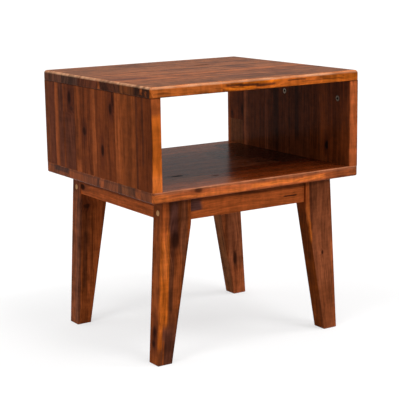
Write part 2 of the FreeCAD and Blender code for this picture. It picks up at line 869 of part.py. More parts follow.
def checkAndWrite():
    doc.recompute()
    for item in doc.Objects:
        if "Invalid" in item.State or "Error" in item.State:
            raise RuntimeError("%s failed: %s" % (item.Name, item.State))
    for node in nodes:
        if node.Shape.isNull() or not node.Shape.isValid():
            raise RuntimeError("%s has no valid shape" % node.Label)
    os.makedirs("parts", exist_ok=True)
    for node in nodes:
        node.Shape.exportStep("parts/%s.step" % node.Label)
    print("%d nodes, %d solids" % (len(nodes), sum(len(node.Shape.Solids) for node in nodes)))


fillSheet()
makeTopPanel()
makeBottomPanel()
makeSidePanel("left", -1, leftSideStaveShares)
makeSidePanel("right", 1, rightSideStaveShares)
for legName, legSide, legEnd in legPlaces:
    makeLeg(legName, legSide, legEnd)
makeEndApron("front_apron", -1)
makeEndApron("rear_apron", 1)
makeSideApron("left_apron", -1)
makeSideApron("right_apron", 1)
for sideName, sideSign in sidePlaces:
    for spotName, spotSign in camPlaces:
        makeCamLock("%s_%s_cam_lock" % (sideName, spotName), sideSign, spotSign)
        makeCamBolt("%s_%s_cam_bolt" % (sideName, spotName), sideSign, spotSign)
makeDowels()
makeSideScrews()
makeBaseScrews()
makeLegScrewsAndPlugs()
checkAndWrite()
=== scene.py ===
import math

import bpy
from mathutils import Euler, Matrix, Vector


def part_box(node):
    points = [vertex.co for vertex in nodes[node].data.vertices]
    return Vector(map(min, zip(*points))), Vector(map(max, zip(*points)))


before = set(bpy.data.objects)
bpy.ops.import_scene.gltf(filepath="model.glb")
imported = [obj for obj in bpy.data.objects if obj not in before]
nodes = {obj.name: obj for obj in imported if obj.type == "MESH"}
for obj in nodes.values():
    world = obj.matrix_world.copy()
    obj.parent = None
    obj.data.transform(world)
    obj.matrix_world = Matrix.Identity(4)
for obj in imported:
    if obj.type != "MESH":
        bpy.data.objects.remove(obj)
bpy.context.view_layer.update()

# A nightstand of satin-lacquered acacia on a pale studio floor. Every shape comes from the
# CAD nodes; this script gives each piece of wood and metal its own finish.
perMetre = 1000     # millimetres
print("frame loaded:", len(nodes), "nodes")


def linearColour(code):
    # An sRGB hex colour as linear RGBA.
    parts = [int(code[i:i + 2], 16) / 255 for i in (1, 3, 5)]
    return [c / 12.92 if c <= 0.04045 else ((c + 0.055) / 1.055) ** 2.4 for c in parts] + [1.0]


def addNode(tree, kind, inputs=None, **settings):
    # Adds one node with its settings. A node among the inputs is linked by its first live
    # output and a socket by itself; anything else is set.
    node = tree.nodes.new("ShaderNode" + kind)
    for name, value in settings.items():
        setattr(node, name, value)
    for place, value in (inputs or {}).items():
        if isinstance(value, bpy.types.Node):
            value = next(output for output in value.outputs if output.enabled)
        if isinstance(value, bpy.types.NodeSocket):
            tree.links.new(value, node.inputs[place])
        else:
            node.inputs[place].default_value = value
    return node


def newMaterial(name):
    material = bpy.data.materials.new(name)
    material.use_nodes = True
    material.node_tree.nodes.clear()
    return material, material.node_tree


def finishMaterial(tree, shader):
    addNode(tree, "OutputMaterial", {"Surface": shader})


def dress(nodeName, material):
    for slot in nodes[nodeName].material_slots:
        slot.material = material


# Acacia: the middle of each kind of heartwood; its dark and light grain follow from it.
woodTones = {
    "honey": "#DA7232",
    "gold": "#E37319",
    "orange": "#C4621F",
    "copper": "#C4622E",
    "amber": "#BA5E30",
    "rose": "#A25A38",
    "rust": "#964B23",
    "nutmeg": "#8B4C26",
    "ginger": "#84411C",
    "cinnamon": "#904E2F",
    "tan": "#9C5C35",
    "toffee": "#7C4727",
    "russet": "#773D20",
    "bronze": "#7D3A10",
    "chestnut": "#6E3315",
    "cocoa": "#5C3728",
    "maroon": "#5E2E1B",
    "cherry": "#66290C",
    "walnut": "#664038",
    "bark": "#4D3024",
    "umber": "#4A2617",
    "sable": "#3A1D0F",
    "ebony": "#2C1510",
    "sap": "#DBA470",
}
# Places on the ramp from dark to light grain, and the share of the tone at each.
grainShades = ((0.24, 0.5), (0.5, 1), (0.76, 1.65))

# How long and how wide each layer of the grain is, in millimetres, and how strong.
grainLayers = {
    "zone": {"length": 480, "width": 20, "weight": 0.75},
    "growth": {"length": 280, "width": 5.5, "weight": 0.6},
    "fibre": {"length": 55, "width": 1.4, "weight": 0.75},
    "mottle": {"length": 24, "width": 13, "weight": 0.5},
    "curl": {"length": 6, "width": 18, "weight": 0.25},
}

# What every piece of acacia shares. Sizes are in millimetres along the grain, across it and
# into the wood, and a knot's reaches are shares of its own size. The steps move the pattern, so
# that no two pieces come from the same place in a log.
acacia = {
    "seedStep": (311, 173, 97),
    "jointStep": (613, 57, 29),
    "swaySize": (300, 70, 70),
    "swayBy": 20,
    "rippleSize": (45, 12, 12),
    "rippleBy": 2.4,
    "tintWander": 5,
    "tintFade": (0.25, 1, 1),
    "streakSize": (260, 6, 30),
    "streakFrom": 0.58,
    "streakFull": 0.72,
    "streakColour": "#2A1008",
    "poreSize": (11, 1.1, 1.1),
    "poreFrom": 0.6,
    "poreFull": 0.74,
    "poreColour": "#301406",
    "poreStrength": 0.4,
    "swellReach": (0.4, 3.2),
    "coreReach": (0.5, 1.3),
    "haloReach": (0.6, 1.7),
    "haloShape": (0.42, 0.75, 1),
    "haloStrength": 0.55,
    "haloColour": "#4A1E12",
    "knotColour": "#22100C",
    # Colour of the painted highlight on the upper rounded edges.
    "paintedHighlightColour": "#EAB088",
    "lineColour": "#200C06",
    "glueLine": 0.4,
    "poreRoughness": 0.12,
    "endRoughness": 0.2,
    "knotRoughness": 0.4,
    "poreDepth": -0.8,
    "bumpStrength": 0.15,
    "bumpDistance": 0.0002,
    "ior": 1.45,
}

# Turns that bring the grain of a piece onto x, in degrees.
grainAlongX = (0, 0, 0)
grainAlongY = (0, 0, -90)
grainAlongZ = (0, 90, 0)

# One piece of wood, where its own look says nothing else. The pith is in millimetres from the
# middle of the piece. Two settings give the painted highlight on its upper rounded edges, its
# strength and its share at the two ends; endLine is how dark the line at its upper end is.
woodDefaults = {
    "tone": "russet",
    "endTone": None,
    "innerTone": None,
    "grain": grainAlongX,
    "pith": (80, -20),
    "seed": 0,
    "contrast": 1,
    "growthWidth": grainLayers["growth"]["width"],
    "streaks": 0.2,
    "knots": (),
    "tints": (),
    "joint": None,
    "seams": (False, False),
    "endLine": 0,
    "edge": 0,
    "endHighlight": 1,
    "roughness": 0.2,
    "gloss": 0.008,
}


def tint(tone, at, reach, soft, strength=1):
    # A strip or block of another tone; soft is how far its rim fades, in millimetres.
    return {"tone": tone, "at": at, "reach": reach, "soft": soft, "strength": strength}


def knot(at, size, dark=1, swell=4):
    # A dark knot; swell is how far it pushes the rings apart, in millimetres.
    return {"at": at, "size": size, "dark": dark, "swell": swell}


def makeAcacia(name, look):
    # Acacia, planed, sanded and sprayed with a satin lacquer: straight interlocked grain in
    # brown and orange bands, near-black streaks and knots, open pores, and a soft sheen.
    look = {**woodDefaults, **look}
    low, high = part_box(name)
    centre = (low + high) / 2 * perMetre
    half = (high - low) / 2 * perMetre
    turn = Euler([math.radians(angle) for angle in look["grain"]]).to_matrix()
    material, tree = newMaterial("lacquered_acacia_" + name)

    def inPiece(point):
        return turn @ (Vector(point) - centre)

    def shrink(size):
        return [1 / part for part in size]

    # Millimetres about the middle of the piece, with the grain along x.
    place = addNode(tree, "TexCoord")
    spot = addNode(tree, "Mapping", {"Vector": place.outputs["Object"], "Scale": (perMetre,) * 3,
                                     "Rotation": turn.to_euler(), "Location": -(turn @ centre)})

    # Beyond a finger joint the stave is another piece of wood.
    joint = look["joint"]
    grainSpot = spot
    if joint:
        along = addNode(tree, "SeparateXYZ", {0: spot})
        beyond = addNode(tree, "Math", {0: along, 1: inPiece(joint["at"]).x},
                         operation="GREATER_THAN" if joint["beyond"] > 0 else "LESS_THAN")
        jump = addNode(tree, "VectorMath", {0: acacia["jointStep"], "Scale": beyond},
                       operation="SCALE")
        grainSpot = addNode(tree, "VectorMath", {0: spot, 1: jump}, operation="ADD")

    # The grain wanders by a few millimetres along the piece.
    seedShift = Vector(acacia["seedStep"]) * look["seed"]
    seeded = addNode(tree, "VectorMath", {0: grainSpot, 1: seedShift}, operation="ADD")
    swayPlace = addNode(tree, "VectorMath", {0: seeded, 1: shrink(acacia["swaySize"])},
                        operation="MULTIPLY")
    sway = addNode(tree, "TexNoise", {"Vector": swayPlace, "Scale": 1, "Detail": 1})
    ripplePlace = addNode(tree, "VectorMath", {0: seeded, 1: shrink(acacia["rippleSize"])},
                          operation="MULTIPLY")
    ripple = addNode(tree, "TexNoise", {"Vector": ripplePlace, "Scale": 1, "Detail": 1})
    swayBy, rippleBy, wander = acacia["swayBy"], acacia["rippleBy"], acacia["tintWander"]
    swayed = addNode(tree, "VectorMath",
                     {0: sway.outputs["Color"], 1: (0, swayBy, swayBy), 2: grainSpot},
                     operation="MULTIPLY_ADD")
    warped = addNode(tree, "VectorMath",
                     {0: ripple.outputs["Color"], 1: (0, rippleBy, rippleBy), 2: swayed},
                     operation="MULTIPLY_ADD")
    offCentre = addNode(tree, "VectorMath", {0: spot, 1: (wander / 2,) * 3}, operation="SUBTRACT")
    uneven = addNode(tree, "VectorMath",
                     {0: ripple.outputs["Color"], 1: (wander,) * 3, 2: offCentre},
                     operation="MULTIPLY_ADD")

    # Distance from the pith gives the growth rings on the faces and on the ends alike.
    pithY, pithZ = look["pith"]
    fromPith = addNode(tree, "VectorMath", {0: warped, 1: (0, 1, 1), 2: (0, -pithY, -pithZ)},
                       operation="MULTIPLY_ADD")
    ring = addNode(tree, "VectorMath", {0: fromPith}, operation="LENGTH")

    # The rings swell round each knot, and a brown halo surrounds its dark core.
    knotMarks = []
    swellFrom, swellTo = acacia["swellReach"]
    coreFrom, coreTo = acacia["coreReach"]
    haloFrom, haloTo = acacia["haloReach"]
    for mark in look["knots"]:
        offset = addNode(tree, "VectorMath", {0: uneven, 1: inPiece(mark["at"])},
                         operation="SUBTRACT")
        scaled = addNode(tree, "VectorMath", {0: offset, 1: mark["size"]}, operation="DIVIDE")
        reach = addNode(tree, "VectorMath", {0: scaled}, operation="LENGTH")
        longer = addNode(tree, "VectorMath", {0: scaled, 1: acacia["haloShape"]},
                         operation="MULTIPLY")
        haloReach = addNode(tree, "VectorMath", {0: longer}, operation="LENGTH")
        swell = addNode(tree, "MapRange", {"Value": reach, "From Min": swellFrom,
                                           "From Max": swellTo,
                                           "To Min": mark["swell"], "To Max": 0},
                        interpolation_type="SMOOTHSTEP")
        ring = addNode(tree, "Math", {0: ring, 1: swell}, operation="ADD")
        core = addNode(tree, "MapRange", {"Value": reach, "From Min": coreFrom, "From Max": coreTo,
                                          "To Min": mark["dark"], "To Max": 0},
                       interpolation_type="SMOOTHSTEP")
        halo = addNode(tree, "MapRange", {"Value": haloReach, "From Min": haloFrom,
                                          "From Max": haloTo,
                                          "To Min": acacia["haloStrength"] * mark["dark"],
                                          "To Max": 0},
                       interpolation_type="SMOOTHSTEP")
        knotMarks.append((halo, core))

    parts = addNode(tree, "SeparateXYZ", {0: warped})
    ringSpace = addNode(tree, "CombineXYZ", {0: parts.outputs[0], 1: ring, 2: parts.outputs[1]})
    ringSpace = addNode(tree, "VectorMath", {0: ringSpace, 1: seedShift}, operation="ADD")
    shade = 0.5
    layers = {}
    for layerName, layer in grainLayers.items():
        width = look["growthWidth"] if layerName == "growth" else layer["width"]
        layerScale = (1 / layer["length"], 1 / width, 0.2 / width)
        layerPlace = addNode(tree, "VectorMath", {0: ringSpace, 1: layerScale},
                             operation="MULTIPLY")
        layers[layerName] = addNode(tree, "TexNoise", {"Vector": layerPlace, "Scale": 1,
                                                       "Detail": 2, "Roughness": 0.55})
        centred = addNode(tree, "Math", {0: layers[layerName], 1: 0.5}, operation="SUBTRACT")
        weight = layer["weight"] * look["contrast"]
        shade = addNode(tree, "Math", {0: centred, 1: weight, 2: shade},
                        operation="MULTIPLY_ADD")

    # One ramp from dark to light for each tone that the piece shows.
    wanted = [look["tone"]] + [strip["tone"] for strip in look["tints"]]
    wanted += [look[face] for face in ("endTone", "innerTone") if look[face]]
    if joint:
        wanted.append(joint["tone"])
    tones = {}
    for toneName in wanted:
        if toneName not in tones:
            tones[toneName] = addNode(tree, "ValToRGB", {"Fac": shade})
            middle = linearColour(woodTones[toneName])[:3]
            stops = tones[toneName].color_ramp.elements
            stops.new(0.5)
            for stop, (position, share) in zip(stops, grainShades):
                stop.position = position
                stop.color = [share * part for part in middle] + [1]

    # End grain drinks more of the finish and has its own tone.
    normal = addNode(tree, "NewGeometry").outputs["Normal"]
    facing = addNode(tree, "VectorMath", {0: normal, 1: turn.transposed() @ Vector((1, 0, 0))},
                     operation="DOT_PRODUCT")
    facing = addNode(tree, "Math", {0: facing}, operation="ABSOLUTE")
    endGrain = addNode(tree, "MapRange", {"Value": facing, "From Min": 0.6, "From Max": 0.95},
                       interpolation_type="SMOOTHSTEP")
    colour = tones[look["tone"]]
    if joint:
        colour = addNode(tree, "Mix", {0: beyond, 6: colour, 7: tones[joint["tone"]]},
                         data_type="RGBA")
    if look["endTone"]:
        colour = addNode(tree, "Mix", {0: endGrain, 6: colour, 7: tones[look["endTone"]]},
                         data_type="RGBA")

    # The inner face of a leg, which looks to the left, gets a tone of its own.
    if look["innerTone"]:
        sideways = addNode(tree, "SeparateXYZ", {0: normal})
        inner = addNode(tree, "MapRange", {"Value": sideways, "From Min": -0.9, "From Max": -0.5,
                                           "To Min": 1, "To Max": 0},
                        interpolation_type="SMOOTHSTEP")
        colour = addNode(tree, "Mix", {0: inner, 6: colour, 7: tones[look["innerTone"]]},
                         data_type="RGBA")

    # Strips and blocks of another tone in the same piece; they fade out slowly along the grain.
    for strip in look["tints"]:
        offset = addNode(tree, "VectorMath", {0: uneven, 1: inPiece(strip["at"])},
                         operation="SUBTRACT")
        offset = addNode(tree, "VectorMath", {0: offset}, operation="ABSOLUTE")
        offset = addNode(tree, "VectorMath", {0: offset, 1: strip["reach"]},
                         operation="SUBTRACT")
        outside = addNode(tree, "VectorMath", {0: offset, 1: (0, 0, 0)}, operation="MAXIMUM")
        outside = addNode(tree, "VectorMath", {0: outside, 1: acacia["tintFade"]},
                          operation="MULTIPLY")
        distance = addNode(tree, "VectorMath", {0: outside}, operation="LENGTH")
        mask = addNode(tree, "MapRange", {"Value": distance, "From Min": 0,
                                          "From Max": strip["soft"],
                                          "To Min": strip["strength"], "To Max": 0},
                       interpolation_type="SMOOTHSTEP")
        colour = addNode(tree, "Mix", {0: mask, 6: colour, 7: tones[strip["tone"]]},
                         data_type="RGBA")

    # Near-black mineral streaks along the grain.
    streakPlace = addNode(tree, "VectorMath", {0: ringSpace, 1: shrink(acacia["streakSize"])},
                          operation="MULTIPLY")
    streak = addNode(tree, "TexNoise", {"Vector": streakPlace, "Scale": 1, "Detail": 2})
    streakMask = addNode(tree, "MapRange", {"Value": streak, "From Min": acacia["streakFrom"],
                                            "From Max": acacia["streakFull"],
                                            "To Min": 0, "To Max": look["streaks"]},
                         interpolation_type="SMOOTHSTEP")
    streakColour = linearColour(acacia["streakColour"])
    colour = addNode(tree, "Mix", {0: streakMask, 6: colour, 7: streakColour}, data_type="RGBA")

    # Open pores, 0.3 mm wide in the real wood, drawn 1 mm wide so that they show.
    porePlace = addNode(tree, "VectorMath", {0: seeded, 1: shrink(acacia["poreSize"])},
                        operation="MULTIPLY")
    pores = addNode(tree, "TexNoise", {"Vector": porePlace, "Scale": 1, "Detail": 1})
    poreMask = addNode(tree, "MapRange", {"Value": pores, "From Min": acacia["poreFrom"],
                                          "From Max": acacia["poreFull"]},
                       interpolation_type="SMOOTHSTEP")
    poreShade = addNode(tree, "Math", {0: poreMask, 1: acacia["poreStrength"]},
                        operation="MULTIPLY")
    poreColour = linearColour(acacia["poreColour"])
    colour = addNode(tree, "Mix", {0: poreShade, 6: colour, 7: poreColour}, data_type="RGBA")

    haloColour = linearColour(acacia["haloColour"])
    knotColour = linearColour(acacia["knotColour"])
    for halo, core in knotMarks:
        colour = addNode(tree, "Mix", {0: halo, 6: colour, 7: haloColour}, data_type="RGBA")
        colour = addNode(tree, "Mix", {0: core, 6: colour, 7: knotColour}, data_type="RGBA")

    # Painted highlight: the upper rounded edges are painted lighter, unevenly, where lamps catch
    # them.
    if look["edge"]:
        upward = addNode(tree, "SeparateXYZ", {0: normal}).outputs[2]
        flank = addNode(tree, "MapRange", {"Value": upward, "From Min": 0.1, "From Max": 0.5,
                                           "To Min": 0, "To Max": look["edge"]},
                        interpolation_type="SMOOTHSTEP")
        flat = addNode(tree, "MapRange", {"Value": upward, "From Min": 0.85, "From Max": 0.995,
                                          "To Min": 1, "To Max": 0},
                       interpolation_type="SMOOTHSTEP")
        edge = addNode(tree, "Math", {0: flank, 1: flat}, operation="MULTIPLY")
        unevenHighlight = addNode(tree, "MapRange", {"Value": ripple, "From Min": 0.35, "From Max": 0.65,
                                          "To Min": 0.5, "To Max": 1.5})
        edge = addNode(tree, "Math", {0: edge, 1: unevenHighlight}, operation="MULTIPLY")
        atEnd = addNode(tree, "MapRange", {"Value": facing, "From Min": 0.1, "From Max": 0.4,
                                           "To Min": 1, "To Max": look["endHighlight"]})
        edge = addNode(tree, "Math", {0: edge, 1: atEnd}, operation="MULTIPLY")
        paintedHighlightColour = linearColour(acacia["paintedHighlightColour"])
        colour = addNode(tree, "Mix", {0: edge, 6: colour, 7: paintedHighlightColour}, data_type="RGBA")

    # Glue lines between neighbouring staves, thin in the real wood, drawn 1 mm wide.
    lineColour = linearColour(acacia["lineColour"])
    faceAcross = addNode(tree, "SeparateXYZ", {0: spot}).outputs[1]
    reachAcross = abs((turn @ half).y)
    for sign, hasSeam in zip((-1, 1), look["seams"]):
        if hasSeam:
            distance = addNode(tree, "Math", {0: faceAcross, 1: -sign, 2: reachAcross},
                               operation="MULTIPLY_ADD")
            line = addNode(tree, "MapRange", {"Value": distance, "From Min": 0.2,
                                              "From Max": 0.9, "To Min": acacia["glueLine"],
                                              "To Max": 0}, interpolation_type="SMOOTHSTEP")
            colour = addNode(tree, "Mix", {0: line, 6: colour, 7: lineColour},
                             data_type="RGBA")

    # A dark line where an upright board meets the top.
    if look["endLine"]:
        alongGrain = addNode(tree, "SeparateXYZ", {0: spot})
        distance = addNode(tree, "Math", {0: abs((turn @ half).x), 1: alongGrain},
                           operation="SUBTRACT")
        line = addNode(tree, "MapRange", {"Value": distance, "From Min": 0.6, "From Max": 2,
                                          "To Min": look["endLine"], "To Max": 0},
                       interpolation_type="SMOOTHSTEP")
        colour = addNode(tree, "Mix", {0: line, 6: colour, 7: lineColour}, data_type="RGBA")

    # The lacquer sinks into pores and end grain, and knots stay duller.
    roughness = addNode(tree, "Math",
                        {0: poreMask, 1: acacia["poreRoughness"], 2: look["roughness"]},
                        operation="MULTIPLY_ADD")
    roughness = addNode(tree, "Math", {0: endGrain, 1: acacia["endRoughness"], 2: roughness},
                        operation="MULTIPLY_ADD")
    for halo, core in knotMarks:
        roughness = addNode(tree, "Math", {0: core, 1: acacia["knotRoughness"], 2: roughness},
                            operation="MULTIPLY_ADD")
    height = addNode(tree, "Math", {0: poreMask, 1: acacia["poreDepth"], 2: layers["fibre"]},
                     operation="MULTIPLY_ADD")
    bump = addNode(tree, "Bump", {"Strength": acacia["bumpStrength"],
                                  "Distance": acacia["bumpDistance"], "Height": height})
    shader = addNode(tree, "BsdfPrincipled", {"Base Color": colour, "Roughness": roughness,
                                              "Normal": bump, "IOR": acacia["ior"],
                                              "Specular IOR Level": look["gloss"]})
    finishMaterial(tree, shader)
    return material


# The pieces of wood. Points are in millimetres in the object's own frame. A tint's reach and a
# knot's size are half-widths, the one along the grain first: x, y, z on the top, the bottom and
# the front apron; z, y, x on the sides and the legs; y, x, z on the left apron.
everywhere = 900    # reaches past the piece
topStaves = {
    1: {"tone": "toffee", "endTone": "sable", "pith": (70, 25), "seed": 1, "streaks": 0.15,
        "joint": {"at": (-81, -203, 490), "beyond": -1, "tone": "toffee"},
        "tints": (tint("orange", (-153, -203, 488), (72, 3.5, 20), 2, 0.55),
                  tint("orange", (72, -203, 488), (153, 3.5, 20), 2),
                  tint("gold", (-10, -203, 494.5), (50, 3.5, 1), 2),
                  tint("gold", (-45, -203, 486), (26, 3.5, 1.5), 2),
                  tint("rust", (100, -203, 491), (50, 3.5, 4), 4, 0.25),
                  tint("maroon", (-56, -203, 493.4), (14, 4, 0.9), 1.8, 0.85),
                  tint("maroon", (-24, -203, 491.2), (18, 4, 1), 1.8, 0.85),
                  tint("maroon", (12, -203, 489), (18, 4, 0.8), 1.8, 0.85),
                  tint("gold", (182, -203, 490), (36, 3.5, 3), 3, 0.5),
                  tint("umber", (80, -203, 493), (18, 4, 0.3), 1.2),
                  tint("umber", (140, -203, 489), (46, 4, 0.3), 1.2, 0.5),
                  tint("ginger", (-225, -170, 491), (4, 2, 4), 3),
                  tint("ginger", (-225, -186, 488), (4, 1, 4), 3, 0.6))},
    2: {"tone": "toffee", "endTone": "sable", "pith": (-80, 20), "seed": 2,
        "tints": (tint("nutmeg", (-140, -120, 501), (70, 16, 20), 14, 0.7),
                  tint("maroon", (10, -132, 501), (24, 7, 20), 9, 0.6),
                  tint("maroon", (104, -112, 501), (10, 8, 20), 8, 0.6),
                  tint("ginger", (-225, -118, 491), (4, 5, 2), 4, 0.5))},
    3: {"tone": "nutmeg", "endTone": "umber", "pith": (75, -30), "seed": 3,
        "tints": (tint("sable", (-225, -52, 491), (4, 16, 8), 3, 0.4),
                  tint("maroon", (-182, -60, 501), (26, 11, 20), 8, 0.8))},
    4: {"tone": "toffee", "endTone": "maroon", "pith": (-85, -20), "seed": 4,
        "tints": (tint("nutmeg", (-130, 25, 501), (50, 20, 20), 14, 0.6),
                  tint("umber", (99, 12, 501), (8, 22, 20), 9, 0.6),
                  tint("umber", (-25, 22, 501), (34, 10, 20), 10, 0.4),
                  tint("umber", (-200, 2, 501), (8, 8, 20), 8, 0.5),
                  tint("rust", (-225, -21, 491), (4, 3, 7), 2))},
    5: {"tone": "toffee", "endTone": "bark", "pith": (80, 25), "seed": 5,
        "knots": (knot((60, 78, 501), (17, 7, 12), dark=0.7),),
        "tints": (tint("umber", (150, 104, 501), (44, 10, 20), 10, 0.5),)},
    6: {"tone": "toffee", "endTone": "cocoa", "pith": (-70, 30), "seed": 6,
        "tints": (tint("umber", (-68, 140, 501), (14, 26, 20), 10, 0.5),)},
}
bottomStaves = {
    1: {"tone": "cherry", "endTone": "russet", "pith": (70, -25), "seed": 11, "streaks": 0.1,
        "knots": (knot((-133, -203, 315.5), (9, 6, 3.6), dark=0.7, swell=2),),
        "tints": (tint("russet", (-130, -170, 321), (80, 40, 4), 10),
                  tint("amber", (0, -203, 310), (everywhere, 3.5, 16), 2),
                  tint("honey", (62, -203, 310), (78, 4, 2), 3),
                  tint("honey", (-130, -203, 307), (90, 4, 1.5), 3, 0.6),
                  tint("honey", (-210, -203, 312), (12, 4, 5), 3, 0.6),
                  tint("rust", (190, -203, 312), (34, 4, 9), 5, 0.6),
                  # Painted highlight: a pinkish band along the upper front edge, where the
                  # lacquer's sheen shows.
                  tint("rose", (0, -203, 319), (everywhere, 4, 1.5), 3),
                  tint("rust", (-225, -153, 311), (4, 8, 8), 3))},
    2: {"tone": "cherry", "endTone": "russet", "pith": (-80, 25), "seed": 12,
        "knots": (knot((-105, -88, 321), (14, 5.5, 6)),
                  knot((-47, -127, 321), (7, 6, 6), dark=0.5)),
        "tints": (tint("toffee", (-150, -100, 321), (60, 30, 4), 20, 0.8),
                  tint("ebony", (-225, -88, 311), (4, 5, 9), 4, 0.6),
                  tint("ebony", (-225, -134, 314), (4, 6, 5), 4, 0.4))},
    3: {"tone": "cinnamon", "endTone": "russet", "pith": (75, 30), "seed": 13,
        # Painted shadow on the cubby floor, in the corner by the right side.
        "tints": (tint("umber", (152, -50, 321), (50, 40, 0.5), 4, 0.5),
                  tint("umber", (172, -50, 321), (30, 40, 0.5), 4, 0.95),
                  tint("amber", (-225, -24, 311), (4, 5, 9), 2, 0.5))},
    4: {"tone": "cinnamon", "endTone": "russet", "pith": (-80, -25), "seed": 14,
        # Painted shadow on the cubby floor, in the corner by the right side.
        "tints": (tint("umber", (136, 20, 321), (66, 40, 0.5), 4, 0.5),
                  tint("umber", (160, 20, 321), (42, 40, 0.5), 4, 0.95),
                  tint("ebony", (-225, -8, 311), (4, 4, 9), 2, 0.6))},
    5: {"tone": "cinnamon", "endTone": "rust", "pith": (80, 20), "seed": 15,
        # Painted shadow on the cubby floor, in the corner by the right side.
        "tints": (tint("umber", (142, 77, 321), (60, 40, 0.5), 4, 0.5),
                  tint("umber", (168, 77, 321), (34, 40, 0.5), 4, 0.95))},
    6: {"tone": "cinnamon", "endTone": "russet", "pith": (-75, -30), "seed": 16,
        "tints": (tint("ebony", (-225, 138, 316), (4, 27, 3), 3, 0.7),
                  # Painted shadow on the cubby floor, in the corner by the right side.
                  tint("umber", (175, 136, 321), (27, 40, 0.5), 4, 0.95))},
    7: {"tone": "cinnamon", "endTone": "ginger", "pith": (70, 25), "seed": 17},
}
leftStaves = {
    1: {"tone": "chestnut", "pith": (80, 20), "seed": 21, "contrast": 0.8,
        "growthWidth": 2.6, "streaks": 0,
        "tints": (tint("rust", (-215, -207, 470), (20, 5, 20), 3),
                  tint("orange", (-215, -207, 385), (62, 5, 20), 3, 0.85),
                  tint("umber", (-225, -150, 400), (everywhere, 3, 20), 3, 0.5),
                  tint("umber", (-225, -171, 430), (60, 2, 20), 3, 0.6),
                  tint("ebony", (-225, -201, 400), (everywhere, 2, 0.5), 2, 0.7),
                  tint("honey", (-215, -207, 332), (10, 5, 20), 4, 0.65))},
    2: {"tone": "ginger", "pith": (-80, 25), "seed": 22, "contrast": 0.8, "streaks": 0,
        "tints": (tint("rust", (-225, -82, 400), (everywhere, 6, 20), 6),)},
    3: {"tone": "chestnut", "pith": (75, -20), "seed": 23, "streaks": 0.1,
        "knots": (knot((-225, -60, 451), (11, 6.5, 30), dark=0.85),
                  knot((-225, -68, 468), (14, 4, 30), dark=0.7),
                  knot((-225, -27, 373), (12, 5.5, 30), dark=0.85))},
    4: {"tone": "chestnut", "pith": (-85, 30), "seed": 24, "streaks": 0.1,
        "knots": (knot((-225, 41, 400), (9, 8, 30), dark=0.8),),
        "tints": (tint("rust", (-225, 3, 400), (everywhere, 5, 20), 3.5),
                  tint("ginger", (-225, 66, 400), (everywhere, 7, 20), 6, 0.6),
                  tint("rust", (-225, 65, 328), (6, 6, 20), 4, 0.8))},
    5: {"tone": "maroon", "pith": (80, -25), "seed": 25, "streaks": 0.2,
        "knots": (knot((-225, 98, 457), (15, 7, 30), dark=0.85),
                  knot((-225, 90, 437), (5, 9, 30), dark=0.5)),
        "joint": {"at": (-225, 98, 428.5), "beyond": -1, "tone": "maroon"},
        "tints": (tint("chestnut", (-225, 100, 470), (38, 16, 20), 4, 0.6),
                  tint("umber", (-225, 98, 375), (51, 15, 20), 2.5, 0.35),
                  tint("umber", (-225, 134, 400), (everywhere, 5, 20), 5, 0.35),
                  tint("chestnut", (-225, 122, 400), (everywhere, 1.5, 20), 3))},
    6: {"tone": "maroon", "pith": (-80, 25), "seed": 26, "streaks": 0.15, "contrast": 0.8,
        "tints": (tint("russet", (-225, 192, 400), (everywhere, 4, 20), 10, 0.8),
                  tint("rust", (-225, 151, 400), (everywhere, 5, 20), 6, 0.8))},
}
rightStaves = {
    1: {"tone": "chestnut", "pith": (80, -20), "seed": 31, "streaks": 0.3,
        "tints": (tint("amber", (215, -207, 400), (everywhere, 5, 20), 3, 0.9),
                  tint("umber", (225, -203, 400), (everywhere, 3, 2), 3, 0.5))},
    2: {"tone": "ginger", "pith": (-80, -30), "seed": 32,
        "knots": (knot((205, -134, 354), (9, 7, 40)),)},
    3: {"tone": "russet", "pith": (75, 20), "seed": 33, "streaks": 0.5,
        "tints": (tint("ebony", (205, -40, 415), (50, 4, 4), 6, 0.7),)},
    4: {"tone": "russet", "pith": (-80, -25), "seed": 34,
        "tints": (tint("cinnamon", (205, 62, 400), (everywhere, 4, 4), 5),
                  tint("ebony", (205, 30, 390), (56, 7, 4), 6, 0.6))},
    5: {"tone": "russet", "pith": (85, 25), "seed": 35,
        "tints": (tint("rose", (205, 134, 400), (everywhere, 5, 4), 5),)},
    6: {"tone": "toffee", "pith": (-80, -20), "seed": 36,
        "knots": (knot((205, 146, 393), (14, 5, 40), dark=0.8),
                  knot((205, 185, 383), (6, 4, 40), dark=0.6)),
        "joint": {"at": (225, 170, 372), "beyond": 1, "tone": "chestnut"},
        "tints": (tint("rust", (205, 198, 400), (everywhere, 4, 4), 3),)},
}
